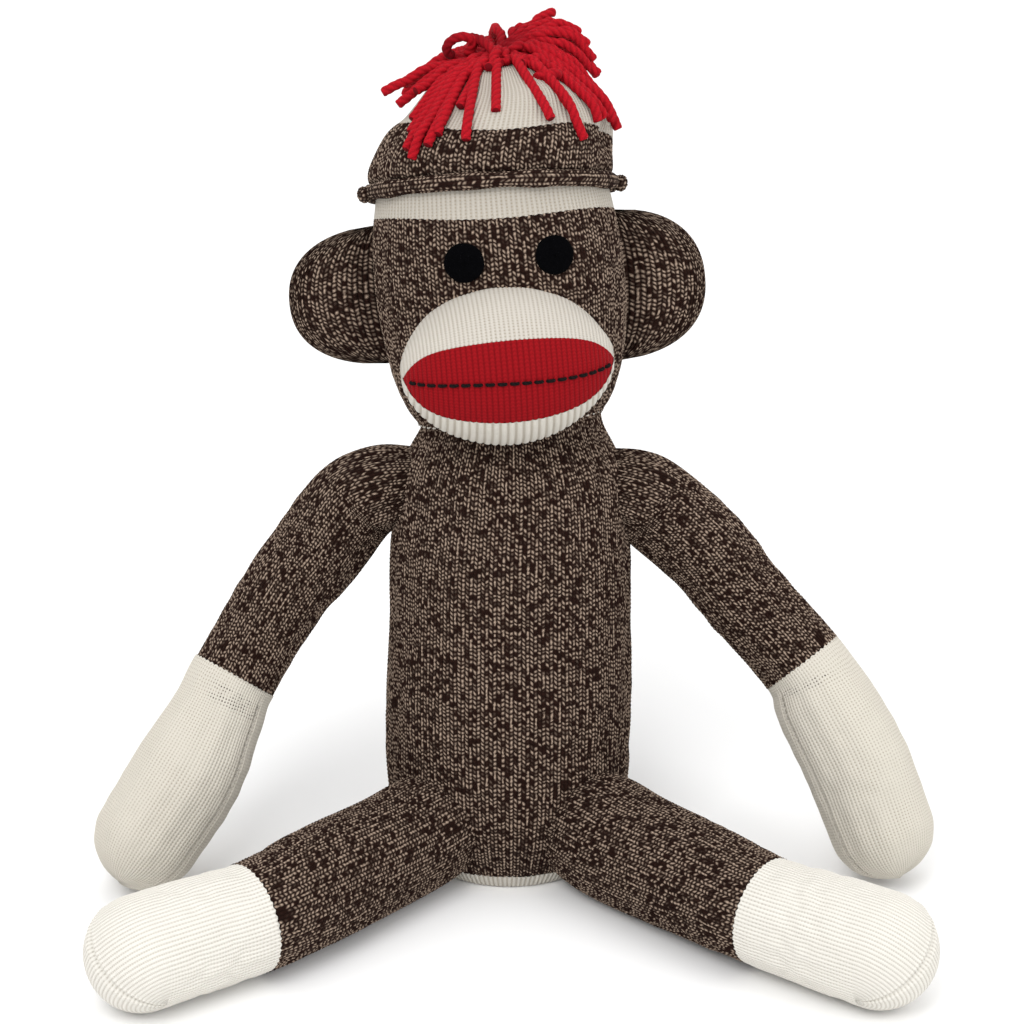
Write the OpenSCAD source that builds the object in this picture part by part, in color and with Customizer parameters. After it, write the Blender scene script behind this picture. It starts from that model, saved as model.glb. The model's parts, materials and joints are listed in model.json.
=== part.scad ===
// Stuffed sock monkey, sitting: knitted skins over loose filling, sewn together at soft joints.
// It faces -Y and rests on Z = 0. Left and right are the toy's own, so left is +X.
// The origin is on the floor, under the middle of the toy's outline.

/* [Body] */
// Radius of the stuffed torso tube at its waist
torso_r = 46; // [44:0.5:48]
// Distance along the torso from the seat to the middle of the neck joint
neck_height = 164; // [160:1:170]
// Backward lean of the sitting torso, in degrees
body_lean = 12; // [10:1:14]
// Distance from the origin back to the middle of the seat, negative towards the front
seat_y = -13; // [-16:1:-10]
// Height of the cream seat patch above the floor
seat_patch_height = 6; // [4:0.5:8]
// Slope of the shoulders away from the neck joint, in degrees
shoulder_slope = 28; // [27:1:30]

/* [Head] */
// Largest radius of the stuffed head
head_r = 47; // [46:0.5:48]
// Backward lean of the head, in degrees
head_lean = 16; // [14:1:18]
// Sideways roll of the head towards the toy's right, in degrees
head_roll = 5; // [0:1:6]
// Turn of the face towards the toy's left, in degrees
head_yaw = 6; // [0:1:8]
// Radius of the round top of the head, under the cap
crown_r = 42.2; // [41:0.1:42.4]
// Height of the centre of the round top above the neck joint
crown_height = 92; // [90:1:94]
// Height above the neck joint where the brown face ends and the cream crown starts
forehead_height = 81; // [78:1:84]
// Radius of a felt eye
eye_r = 7.6; // [6:0.2:9]
// Distance of each eye from the middle of the face
eye_offset = 17; // [15:0.5:19]
// Height of the eyes above the neck joint
eye_height = 66.5; // [63:0.5:70]
// Thickness of the felt of the eyes
felt = 1.5; // [1:0.1:2]

/* [Ears] */
// Radius of the half-round ears
ear_r = 25.5; // [23:0.5:27]
// Thickness of a padded ear at its middle
ear_thickness = 10; // [8:0.5:12]
// Height of the middle of the ears above the neck joint
ear_height = 53.5; // [50:0.5:56]
// Distance from the head's axis to the fold where an ear is sewn on
ear_root = 50.4; // [50.2:0.1:51]

/* [Muzzle] */
// Half of the muzzle's width
muzzle_half_width = 41.5; // [39:0.5:42.5]
// Radius of the muzzle's cross-section
muzzle_r = 31; // [29:0.5:32]
// Height of the muzzle's long axis above the neck joint
muzzle_height = 27; // [26:0.5:30]
// Distance of the muzzle's long axis in front of the head's axis
muzzle_forward = 36; // [34:0.5:38]
// Angle above the muzzle's middle where the red lips end, in degrees
lips_top = 24; // [18:1:30]
// Angle below the muzzle's middle where the red lips end, in degrees
lips_bottom = 39; // [32:1:44]
// Angle below the muzzle's middle of the stitched mouth line, in degrees
mouth_angle = 8; // [4:1:14]

/* [Cap] */
// Outer radius of the round knitted cap
cap_r = 44.9; // [44.5:0.1:46]
// Backward tip of the cap on the head, in degrees
cap_tip = 6; // [4:1:6]
// Height of the rolled brim above the cap's centre
brim_lift = 3; // [3:0.5:5]
// Thickness of the rolled brim
brim_d = 5.2; // [4.4:0.2:5.4]
// Angle above the brim where the brown band ends and the cream crown starts, in degrees
band_angle = 30; // [24:1:36]
// Number of yarn strands in each ring of the pompom
strands_per_ring = 9; // [6:1:10]
// Length of a pompom strand
strand_length = 34; // [30:1:38]
// Diameter of the pompom yarn
strand_d = 4.2; // [3.6:0.2:4.6]

/* [Arms] */
// Distance of the shoulder joints from the torso's axis
shoulder_out = 64; // [64:0.5:66]
// Height of the shoulder joints along the torso
shoulder_height = 134; // [130:1:136]
// Radius of the brown part of an arm
arm_r = 16.5; // [15.5:0.25:16.75]
// Radius of a cream hand
hand_r = 20.3; // [18:0.1:20.5]
// Left wrist joint
left_wrist = [110.1, -10.7, 78.4]; // [-200:0.1:200]
// Middle of the round end of the left hand
left_hand_end = [140.5, -38.2, 21]; // [-200:0.1:200]
// Right wrist joint
right_wrist = [-105, -15.3, 75.2]; // [-200:0.1:200]
// Middle of the round end of the right hand
right_hand_end = [-138, -44.3, 21]; // [-200:0.1:200]

/* [Legs] */
// Radius of the round root of a leg
leg_root_r = 20; // [19:0.25:20.5]
// Radius of a leg at the thigh
thigh_r = 21.3; // [20:0.1:21.4]
// Radius of a leg at the ankle
ankle_r = 20; // [18:0.25:20.5]
// Radius of a cream foot
foot_r = 21.2; // [19:0.1:21.3]
// Left ankle joint
left_ankle = [92, -99, 21.6]; // [-200:0.1:200]
// Middle of the round end of the left foot
left_foot_end = [131.2, -125.2, 21.4]; // [-200:0.1:200]
// Right ankle joint
right_ankle = [-92, -102, 21.6]; // [-200:0.1:200]
// Middle of the round end of the right foot
right_foot_end = [-131.2, -127.6, 21.4]; // [-200:0.1:200]

/* [Tail] */
// Radius of the tail
tail_r = 9.2; // [8:0.1:9.3]
// Distance from the origin to the middle of the tail's round end
tail_end_y = 138; // [120:1:139]

/* [Fabric] */
// Thickness of the knitted fabric
knit = 1.5; // [1.2:0.1:1.8]
// Thickness of a sewing-thread seam ring
thread = 2; // [1.6:0.1:2]

/* [Hidden] */

$fn = 48;
brown = [0.30, 0.23, 0.19];
cream = [0.90, 0.88, 0.82];
red = [0.72, 0.10, 0.14];
black = [0.04, 0.04, 0.05];
white_filling = [0.96, 0.96, 0.95];
thread_white = [0.85, 0.83, 0.78];

// Clear space between fabric pieces that move past each other
ease = 0.4;
// A length that reaches past any piece when it is used as a cutter
far = 400;
left = 1;
right = -1;

// Neck joint: a ball of firm filling in the open necks of the torso and the head
neck_ball_r = 8;
neck_socket_r = neck_ball_r + ease;
neck_seam_r = neck_ball_r + thread / 2 + ease - 0.1;
neck_gap = 1.5;

// Seam rings that gather a limb's root
arm_seam_r = 6;
leg_seam_r = 7;
tail_seam_r = 4;
seam_hole = 4.5;

// Middle of each limb's seam on the torso, as height along the torso, direction and skin radius
hip_height = 17;
hip_turn = 44;
hip_surface_r = 40.3;
hip_droop = 12;
tail_height = 26;
tail_surface_r = 42.2;
tail_droop = 8;
root_gap = 2.6;
tail_gap = 2;

// Distance from an ear's sewn edge to the middle of its round, and from the head's axis back to it
ear_set_in = 3.4;
ear_back = 4;

// Half of the angle of the groove at a wrist or an ankle
bend_groove = 20;
// Smallest distance between the two cones of a wrist or an ankle
bend_gap = 0.4;

// ---- small helpers ----

function unit(v) = v / norm(v);
function tilt_x(v, a) = [v.x, v.y * cos(a) - v.z * sin(a), v.y * sin(a) + v.z * cos(a)];
function from_torso(v) = [0, seat_y, 0] + tilt_x(v, -body_lean);
function arc(centre, r, a0, a1, steps = 12) =
    [for (i = [0:steps]) centre + r * [cos(a0 + (a1 - a0) * i / steps), sin(a0 + (a1 - a0) * i / steps)]];

// Moves children, made along +Z from the origin, to start at a point and run in a direction
module aim(start, direction) {
    d = unit(direction);
    translate(start)
        rotate([0, acos(d.z), atan2(d.y, d.x)])
            children();
}

module torso_frame() {
    translate([0, seat_y, 0])
        rotate([-body_lean, 0, 0])
            children();
}

module head_frame() {
    translate(neck_point)
        rotate([-head_lean, -head_roll, 0])
            rotate([0, 0, head_yaw])
                children();
}

module cap_frame() {
    head_frame()
        translate([0, 0, crown_height])
            rotate([-cap_tip, 0, 0])
                children();
}

module above(z) {
    translate([-far, -far, z])
        cube([2 * far, 2 * far, 2 * far]);
}

module below(z) {
    translate([-far, -far, z - 2 * far])
        cube([2 * far, 2 * far, 2 * far]);
}

module ring(r, d) {
    rotate_extrude()
        translate([r, 0])
            circle(d = d, $fn = 16);
}

// ---- torso ----

neck_point = from_torso([0, 0, neck_height]);

// Outer profile of the torso, or the inner one when inset is the fabric's thickness
module torso_solid(inset = 0) {
    r = torso_r - inset;
    apex = neck_height - neck_gap - inset / cos(shoulder_slope);
    rim_r = 40 - inset;
    rotate_extrude()
        polygon(concat(
            [[0, -14 + inset], [20 - inset, -14 + inset]],
            [for (p = [[30, -5], [36, 5], [40.3, 17], [43.2, 32], [45, 52]])
                [p.x - torso_r + r, p.y]],
            [[r, 80], [r - 0.5, 112], [r - 1.2, neck_height - 34], [r - 2.6, neck_height - 27]],
            [[rim_r, apex - rim_r * tan(shoulder_slope)], [0, apex]]
        ));
}

module neck_socket() {
    translate([0, 0, neck_height])
        sphere(r = neck_socket_r);
}

module torso_skin() {
    color(brown)
        difference() {
            torso_frame()
                difference() {
                    torso_solid();
                    torso_solid(knit);
                    neck_socket();
                }
            below(seat_patch_height);
        }
}

module seat_patch() {
    color(cream)
        intersection() {
            difference() {
                torso_frame()
                    torso_solid();
                intersection() {
                    torso_frame()
                        torso_solid(knit);
                    above(knit);
                }
                below(0);
            }
            below(seat_patch_height);
        }
}

module torso_filling() {
    color(white_filling)
        difference() {
            torso_frame()
                difference() {
                    torso_solid(knit);
                    neck_socket();
                }
            below(knit);
        }
}

// ---- neck ----

module neck_filling() {
    color(white_filling)
        translate(neck_point)
            sphere(r = neck_ball_r);
}

module neck_seam() {
    color(thread_white)
        head_frame()
            ring(neck_seam_r, thread * 0.8);
}

// ---- head ----

// The head's outline from the neck up to the ring where the round top starts
module head_solid(inset = 0) {
    bottom = 1 + inset;
    rotate_extrude()
        polygon(concat(
            [[0, bottom], [30 - inset, bottom + 3.2]],
            [for (p = [[35, 6.5], [38.8, 13], [42.5, 23], [45.3, 37], [46.8, 52]])
                [p.x - 47 + head_r - inset, p.y]],
            [[head_r - inset, 66], [head_r - 1 - inset, 76], [head_r - 2.6 - inset, 81]],
            [[head_r - 4.2 - inset, 84.5]],
            arc([0, crown_height], crown_r - inset, -4, 90, 14)
        ));
}

module head_wall() {
    difference() {
        head_solid();
        head_solid(knit);
        sphere(r = neck_socket_r);
    }
}

module head_skin() {
    color(brown)
        head_frame()
            difference() {
                head_wall();
                above(forehead_height);
            }
}

module head_crown() {
    color(cream)
        head_frame()
            difference() {
                head_wall();
                below(forehead_height);
            }
}

module head_filling() {
    color(white_filling)
        head_frame()
            difference() {
                head_solid(knit);
                sphere(r = neck_socket_r);
            }
}

module eye(side) {
    color(black)
        head_frame()
            intersection() {
                difference() {
                    eye_shell(felt);
                    eye_shell(0);
                }
                translate([side * eye_offset, 0, eye_height])
                    rotate([90, 0, 0])
                        cylinder(r = eye_r, h = 2 * head_r);
            }
}

// A band of the head's surface around the eyes, grown outwards by a distance
module eye_shell(grow) {
    intersection() {
        head_solid(-grow);
        translate([0, 0, eye_height - 2 * eye_r])
            cylinder(r = far, h = 4 * eye_r);
    }
}

// ---- ears ----

// A flat oval-edged pad that stands sideways beside the head, cut straight where it is sewn on
module ear_pad(inset) {
    half = ear_thickness / 2 - inset;
    r = ear_r - inset;
    intersection() {
        translate([ear_root + ear_set_in, 0, ear_height])
            rotate([90, 0, 0])
                rotate_extrude()
                    polygon([for (a = [-90:10:90]) [max(0, r * cos(a)), half * sin(a)]]);
        translate([ear_root, -far, -far])
            cube([far, 2 * far, 2 * far]);
    }
}

module ear_place(side) {
    head_frame()
        scale_side(side)
            translate([0, ear_back, 0])
                children();
}

module scale_side(side) {
    if (side == left)
        children();
    else
        mirror([1, 0, 0])
            children();
}

module ear_skin(side) {
    color(brown)
        ear_place(side)
            difference() {
                ear_pad(0);
                ear_pad(knit);
            }
}

module ear_padding(side) {
    color(white_filling)
        ear_place(side)
            ear_pad(knit);
}

// ---- muzzle ----

// A slice of the lemon-shaped muzzle between two angles about its long axis
module muzzle_slice(inset, low, high) {
    half = muzzle_half_width - inset;
    r = muzzle_r - inset;
    translate([0, -muzzle_forward, muzzle_height])
        rotate([0, 90, 0])
            rotate([0, 0, 270 - high])
                rotate_extrude(angle = high - low)
                    polygon([for (a = [0:9:180]) [r * sin(a), -half * cos(a)]]);
}

// The fabric of the muzzle between two angles, where it stands clear of the head
module muzzle_wall(low, high) {
    head_frame()
        difference() {
            muzzle_slice(0, low, high);
            muzzle_slice(knit, low - 5, high + 5);
            head_solid();
        }
}

module muzzle_upper() {
    color(cream)
        muzzle_wall(lips_top, 150);
}

module lips() {
    color(red)
        muzzle_wall(-lips_bottom, lips_top);
}

module muzzle_lower() {
    color(cream)
        muzzle_wall(-150, -lips_bottom);
}

module muzzle_filling() {
    color(white_filling)
        head_frame()
            difference() {
                muzzle_slice(knit, -150, 150);
                head_solid();
            }
}

// A row of thread dashes along the lips, each lying just on the fabric
module mouth_stitch() {
    dash = 3.6;
    dash_r = 0.9;
    lift = dash_r + 0.15;
    color(black)
        head_frame()
            translate([0, -muzzle_forward, muzzle_height])
                rotate([mouth_angle, 0, 0])
                    for (a = [-68:8:68]) {
                        along = [muzzle_half_width * cos(a), muzzle_r * sin(a)];
                        at = [muzzle_half_width * sin(a), -muzzle_r * cos(a)];
                        out = unit([at.x / pow(muzzle_half_width, 2), at.y / pow(muzzle_r, 2)]);
                        translate([at.x + out.x * lift, at.y + out.y * lift, 0])
                            rotate([0, 0, atan2(along.y, along.x)])
                                rotate([0, 90, 0])
                                    cylinder(r = dash_r, h = dash, center = true);
                    }
}

// ---- cap ----

module cap_shell() {
    difference() {
        cap_outer(cap_r);
        cap_outer(crown_r + ease);
    }
}

// A ball above the cap's centre and a short tube down to the brim
module cap_outer(r) {
    rotate_extrude()
        polygon(concat(
            [[0, brim_lift]],
            arc([0, 0], r, asin(brim_lift / r), 90, 14)
        ));
}

module cap_band() {
    color(brown)
        cap_frame()
            difference() {
                cap_shell();
                above(cap_r * sin(band_angle));
            }
}

module cap_crown() {
    color(cream)
        cap_frame()
            difference() {
                cap_shell();
                below(cap_r * sin(band_angle));
            }
}

module cap_brim() {
    color(brown)
        cap_frame()
            translate([0, 0, brim_lift - brim_d / 2])
                ring(crown_r + 2 * ease + brim_d / 2, brim_d);
}

module pompom_tie() {
    color(red)
        cap_frame()
            translate([0, 0, cap_r + thread / 2])
                ring(2.6, thread);
}

// Strands of yarn that spread from a knot: drooping, level and rising rings, and one on top
module pompom() {
    knot_r = 5.5;
    color(red)
        cap_frame()
            translate([0, 0, cap_r + thread + knot_r + 0.2]) {
                sphere(r = knot_r);
                for (tier = [[-14, 0, 1], [22, 20, 1.02], [52, 10, 0.9]])
                    for (i = [0:strands_per_ring - 1])
                        rotate([0, 0, tier[1] + 360 * i / strands_per_ring])
                            rotate([0, 90 - tier[0], 0])
                                translate([0, 0, knot_r - 0.8])
                                    cylinder(d = strand_d * (tier[0] > 40 ? 0.75 : 1),
                                        h = strand_length * tier[2], $fn = 16);
                translate([0, 0, knot_r - 0.8])
                    cylinder(d = strand_d, h = strand_length * 0.6, $fn = 16);
            }
}

// ---- limbs ----

function limb_cone(z, r) = z - r * tan(bend_groove);

// Upper part of a limb, along +Z from its root ball to the cone at its wrist or ankle
module upper_limb(length, root_r, middle_r, end_r, inset = 0) {
    tip = length - bend_gap - inset / cos(bend_groove);
    rotate_extrude()
        polygon(concat(
            arc([0, 0], root_r - inset, -90, 0, 10),
            [[middle_r - inset, length * 0.4], [end_r - inset, length * 0.75]],
            [[end_r - inset, limb_cone(tip, end_r - inset)], [0, tip]]
        ));
}

// End part of a limb, along +Z from the cone at its joint to its round end
module lower_limb(length, start_r, end_r, inset = 0) {
    foot = bend_gap + inset / cos(bend_groove);
    rotate_extrude()
        polygon(concat(
            [[0, foot], [start_r - inset, foot + (start_r - inset) * tan(bend_groove)]],
            [[(start_r + end_r) / 2 + 0.6 - inset, length * 0.36], [end_r - inset, length * 0.66]],
            arc([0, length], end_r - inset, 0, 90, 10)
        ));
}

module root_hole() {
    translate([0, 0, -far])
        cylinder(r = seam_hole, h = far);
}

// Gathering thread around a limb's root, about the outward direction of its seam
module root_seam(pivot, outward, root_r, seam_r) {
    reach = root_r + thread / 2 + ease;
    color(thread_white)
        aim(pivot, outward)
            translate([0, 0, -sqrt(reach * reach - seam_r * seam_r)])
                ring(seam_r, thread);
}

function shoulder(side) = from_torso([side * shoulder_out, 0, shoulder_height]);
function shoulder_out_dir(side) = [side, 0, 0];
function wrist(side) = side == left ? left_wrist : right_wrist;
function hand_end(side) = side == left ? left_hand_end : right_hand_end;

function hip_out(side) =
    [side * cos(hip_turn) * cos(hip_droop), -sin(hip_turn) * cos(hip_droop), -sin(hip_droop)];
function hip_out_dir(side) = tilt_x(hip_out(side), -body_lean);
function hip(side) =
    from_torso([side * hip_surface_r * cos(hip_turn), -hip_surface_r * sin(hip_turn), hip_height])
    + (leg_root_r + root_gap) * hip_out_dir(side);
function ankle(side) = side == left ? left_ankle : right_ankle;
function foot_end(side) = side == left ? left_foot_end : right_foot_end;

tail_out_dir = tilt_x([0, cos(tail_droop), -sin(tail_droop)], -body_lean);
tail_root = from_torso([0, tail_surface_r, tail_height]) + (tail_r + tail_gap) * tail_out_dir;
tail_end = [0, tail_end_y, tail_r + 0.3];

module arm_upper(side, inset) {
    aim(shoulder(side), wrist(side) - shoulder(side))
        upper_limb(norm(wrist(side) - shoulder(side)), arm_r, arm_r, arm_r - 0.5, inset);
}

module sleeve(side) {
    color(brown)
        difference() {
            arm_upper(side, 0);
            arm_upper(side, knit);
            aim(shoulder(side), shoulder_out_dir(side))
                root_hole();
        }
}

module arm_filling(side) {
    color(white_filling)
        arm_upper(side, knit);
}

module hand_part(side, inset) {
    aim(wrist(side), hand_end(side) - wrist(side))
        lower_limb(norm(hand_end(side) - wrist(side)), arm_r - 0.5, hand_r, inset);
}

module hand(side) {
    color(cream)
        difference() {
            hand_part(side, 0);
            hand_part(side, knit);
            aim(wrist(side), wrist(side) - hand_end(side))
                translate([0, 0, -far / 10])
                    cylinder(r = seam_hole, h = far / 10);
        }
}

module hand_filling(side) {
    color(white_filling)
        hand_part(side, knit);
}

module leg_upper(side, inset) {
    aim(hip(side), ankle(side) - hip(side))
        upper_limb(norm(ankle(side) - hip(side)), leg_root_r, thigh_r, ankle_r, inset);
}

module leg(side) {
    color(brown)
        difference() {
            leg_upper(side, 0);
            leg_upper(side, knit);
            aim(hip(side), hip_out_dir(side))
                root_hole();
        }
}

module leg_filling(side) {
    color(white_filling)
        leg_upper(side, knit);
}

module foot_part(side, inset) {
    aim(ankle(side), foot_end(side) - ankle(side))
        lower_limb(norm(foot_end(side) - ankle(side)), ankle_r, foot_r, inset);
}

module foot(side) {
    color(cream)
        difference() {
            foot_part(side, 0);
            foot_part(side, knit);
        }
}

module foot_filling(side) {
    color(white_filling)
        foot_part(side, knit);
}

module tail_solid(inset) {
    length = norm(tail_end - tail_root);
    aim(tail_root, tail_end - tail_root)
        rotate_extrude()
            polygon(concat(
                arc([0, 0], tail_r - inset, -90, 0, 8),
                arc([0, length], tail_r - inset, 0, 90, 8)
            ));
}

module tail_skin() {
    color(brown)
        difference() {
            tail_solid(0);
            tail_solid(knit);
            aim(tail_root, tail_out_dir)
                translate([0, 0, -far])
                    cylinder(r = tail_seam_r - 1.4, h = far);
        }
}

module tail_filling() {
    color(white_filling)
        tail_solid(knit);
}

module tail_seam() {
    root_seam(tail_root, tail_out_dir, tail_r, tail_seam_r);
}

// ---- the pieces ----

torso_skin();
torso_filling();
seat_patch();
neck_filling();
neck_seam();
head_skin();
head_crown();
head_filling();
muzzle_upper();
lips();
muzzle_lower();
muzzle_filling();
mouth_stitch();
eye(left);  // left_eye
eye(right);  // right_eye
ear_skin(left);  // left_ear_skin
ear_padding(left);  // left_ear_padding
ear_skin(right);  // right_ear_skin
ear_padding(right);  // right_ear_padding
cap_crown();
cap_band();
cap_brim();
pompom();
pompom_tie();
root_seam(shoulder(left), shoulder_out_dir(left), arm_r, arm_seam_r);  // left_shoulder_seam
sleeve(left);  // left_sleeve
arm_filling(left);  // left_arm_filling
hand(left);  // left_hand
hand_filling(left);  // left_hand_filling
root_seam(shoulder(right), shoulder_out_dir(right), arm_r, arm_seam_r);  // right_shoulder_seam
sleeve(right);  // right_sleeve
arm_filling(right);  // right_arm_filling
hand(right);  // right_hand
hand_filling(right);  // right_hand_filling
root_seam(hip(left), hip_out_dir(left), leg_root_r, leg_seam_r);  // left_hip_seam
leg(left);  // left_leg
leg_filling(left);  // left_leg_filling
foot(left);  // left_foot
foot_filling(left);  // left_foot_filling
root_seam(hip(right), hip_out_dir(right), leg_root_r, leg_seam_r);  // right_hip_seam
leg(right);  // right_leg
leg_filling(right);  // right_leg_filling
foot(right);  // right_foot
foot_filling(right);  // right_foot_filling
tail_seam();
tail_skin();
tail_filling();
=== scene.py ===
"""Looks of the stuffed sock monkey: knitted skins, stitched mouth, felt eyes, yarn pompom.

Lengths inside the script are millimetres, and metres for the floor, lights and camera. Every skin is a grid
of points: U goes round it and counts knitted columns (wales), V goes along it and counts knitted rows
(courses).
"""
import json
import math

import bpy
import numpy as np
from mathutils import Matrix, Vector


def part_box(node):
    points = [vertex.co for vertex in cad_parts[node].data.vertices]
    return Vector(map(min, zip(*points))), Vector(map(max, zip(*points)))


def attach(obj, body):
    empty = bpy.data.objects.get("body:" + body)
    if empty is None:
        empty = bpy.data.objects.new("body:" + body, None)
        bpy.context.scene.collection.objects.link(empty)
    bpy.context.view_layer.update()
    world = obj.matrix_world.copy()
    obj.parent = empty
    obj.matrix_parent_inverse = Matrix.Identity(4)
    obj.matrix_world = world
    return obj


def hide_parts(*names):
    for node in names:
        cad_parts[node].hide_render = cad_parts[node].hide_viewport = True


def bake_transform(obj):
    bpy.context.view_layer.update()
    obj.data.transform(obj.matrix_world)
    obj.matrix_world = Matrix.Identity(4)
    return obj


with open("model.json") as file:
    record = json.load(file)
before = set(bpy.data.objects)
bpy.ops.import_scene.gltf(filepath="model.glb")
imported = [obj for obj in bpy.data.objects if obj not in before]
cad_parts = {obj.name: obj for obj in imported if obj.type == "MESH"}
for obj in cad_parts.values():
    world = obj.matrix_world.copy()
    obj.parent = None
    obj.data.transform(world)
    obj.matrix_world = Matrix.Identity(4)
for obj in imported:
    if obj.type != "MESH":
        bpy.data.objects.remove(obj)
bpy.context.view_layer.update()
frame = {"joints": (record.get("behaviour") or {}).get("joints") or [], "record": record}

MM = 0.001
TAU = 2 * math.pi
SEED = 7
LEFT, RIGHT = 1, -1
SIDE_NAMES = {LEFT: "left", RIGHT: "right"}

# Knit gauges: width of a wale and height of a course
BROWN = (3.1, 1.65)
FINE = (1.45, 1.2)
FOOT = (1.65, 1.2)
CROWN = (2.0, 1.2)
RIB = (2.45, 1.5)
LIPS = (1.8, 1.5)

# Height of the cream seat patch above the floor
SEAT_PATCH = 6.0

# Head, heights above the neck joint
HEAD_R = 47
EYE_R, EYE_OFFSET, EYE_ASIDE, EYE_HEIGHT, FELT = 7.2, 16.6, 1.2, 67.6, 1.5
FOREHEAD = 82

# Ears
EAR_HALF_THICKNESS, EAR_BACK = 5.4, 4.0
EAR_REACHES = {LEFT: 78.3, RIGHT: 79.2}
EAR_HALF_HEIGHTS = {LEFT: 28.5, RIGHT: 26}
EAR_HEIGHTS = {LEFT: 51.0, RIGHT: 55.4}

# Muzzle: a lemon shape about the head's X axis
MUZZLE_HALF, MUZZLE_R, MUZZLE_HEIGHT, MUZZLE_FORWARD = 39.3, 30.2, 29.4, 36.0
MUZZLE_ASIDE, MUZZLE_SPREAD = -2.4, 179.5
LIPS_TOP, LIPS_BOTTOM, MOUTH_ANGLE = 20, -41, -10.5

# Cap
BRIM_R, BRIM_TUBE = 45.4, 3.1
CAP_LEAN = 7.5
CAP_PROFILE = [(43.6, 1.2), (45.6, 3.6), (46, 8), (45.3, 13), (43.5, 18), (41, 22.5), (38, 26.5),
               (34.6, 30.5), (30.6, 34.5), (26, 38.5), (20.5, 41.6), (13, 43.6), (6, 44.3), (0.6, 44.4)]

# Pompom: strands lie YARN_GAP off the cap, hanging on its wall below CAP_SHOULDER and resting on it above
YARN_R, YARN_GAP, CAP_SHOULDER = 1.85, 0.4, 28

# Arms. A root may stand ARM_ASIDE further out and ARM_LIFT higher, and a hand bows out by HAND_BOW
ARM_R, WRIST_R, HAND_R = 16.6, 16.4, 20.3
ARM_ASIDE = {LEFT: 0, RIGHT: 4}
ARM_LIFT = {LEFT: 0, RIGHT: 2.2}
HAND_BOW = {LEFT: 2.4, RIGHT: -2.4}
PALM_RADII = {LEFT: [19.2, 20, 19.4], RIGHT: [17.6, 21, HAND_R]}
HAND_ROLL = 50

# Legs and tail. ANKLE_SHIFT is how far the colour change is past the ankle joint
LEG_ROOT_R = {LEFT: 22.3, RIGHT: 20.9}
THIGH_R, ANKLE_R, FOOT_R = 21.6, 20.2, 21.2
ANKLE_SHIFT = {LEFT: 0, RIGHT: 3.2}
FOOT_ROLL, TOE_ASIDE = 35, 0.32
TAIL_R = 9.2

# A length from a joint along a limb, past a wrist or an ankle
BEND = 16

# Fabric nearer the floor than FLOOR_NEAR is pressed together, and stops FLOOR_GAP above it
FLOOR_NEAR, FLOOR_GAP = 2.0, 0.3

# How deep the sewn last row of a toe sinks
TOE_SINK = 0.5

CLOTH_SCALE, CLOTH_FRAMES = 10, 20


# ---- numbers and places ----

def unit(v):
    v = np.asarray(v, float)
    return v / np.linalg.norm(v, axis=-1, keepdims=True)


def joint_place(name):
    return np.array(JOINTS[name]["pos_m"]) / MM


def joint_axis(name):
    return unit(JOINTS[name]["axis"])


def metres(point):
    return tuple(point * MM)


def nodes(side, *parts):
    """The names of CAD nodes on one side of the toy."""
    return tuple(SIDE_NAMES[side] + "_" + part for part in parts)


def corners(node):
    low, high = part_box(node)
    return np.array(low) / MM, np.array(high) / MM


def spline(points, count):
    """Evenly spaced parameters on a Catmull-Rom curve through the points."""
    p = np.asarray(points, float)
    p = np.vstack([2 * p[0] - p[1], p, 2 * p[-1] - p[-2]])
    t = np.linspace(0, len(p) - 3, count)
    i = np.minimum(t.astype(int), len(p) - 4)
    f = (t - i)[:, None]
    a, b, c, d = (p[i + k] for k in range(4))
    square, cube = 2 * a - 5 * b + 4 * c - d, 3 * b - a - 3 * c + d
    return 0.5 * (2 * b + (c - a) * f + square * f ** 2 + cube * f ** 3)


def run_lengths(points):
    return np.concatenate([[0], np.cumsum(np.linalg.norm(np.diff(points, axis=0), axis=1))])


def carry(side_dir, headings):
    """Carries a side direction along a curve without twisting it round."""
    ref = np.asarray(side_dir, float)
    x = []
    for d in headings:
        ref = unit(ref - d * np.dot(ref, d))
        x.append(ref)
    return np.array(x)


def squares(here, after):
    """Corner values of every square of a grid, from the grid and the same grid one column on."""
    return np.stack([here[:-1], after[:-1], after[1:], here[1:]], -1).reshape(-1, 4)


def add_object(name, data):
    obj = bpy.data.objects.new(name, data)
    bpy.context.scene.collection.objects.link(obj)
    return obj


def stitch_step(surface, u, size):
    """A small rise and fall with each brown wale, in shares of a course."""
    wales = round(surface.girth / BROWN[0])
    return size * np.abs(((u * wales) % 1) - 0.5) * BROWN[1]


def bell(x, width):
    return np.exp(-(x / width) ** 2)


def smooth_step(x, low, high):
    t = np.clip((x - low) / (high - low), 0, 1)
    return t * t * (3 - 2 * t)


class Place:
    """A local frame: an origin, and X and Z directions."""

    def __init__(self, origin, x, z):
        self.origin = np.asarray(origin, float)
        z = unit(z)
        x = unit(np.asarray(x) - z * np.dot(x, z))
        self.axes = np.stack([x, np.cross(z, x), z])

    def world(self, p):
        return self.origin + np.asarray(p, float) @ self.axes

    def direction(self, d):
        return np.asarray(d, float) @ self.axes


JOINTS = {j["name"]: j for j in frame["joints"]}
SEAT = np.array(frame["record"]["mounts"][0]["pos_m"]) / MM
NECK = joint_place("neck_nod")
torso_place = Place(SEAT, (1, 0, 0), NECK - SEAT)
across_head = joint_place("left_ear_fold") - joint_place("right_ear_fold")
head_place = Place(NECK, across_head, joint_axis("neck_turn"))
brim_low, brim_high = corners("cap_brim")
cap_place = Place((brim_low + brim_high) / 2, head_place.axes[0], joint_axis("cap_lift"))


# ---- knitted surfaces ----

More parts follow.
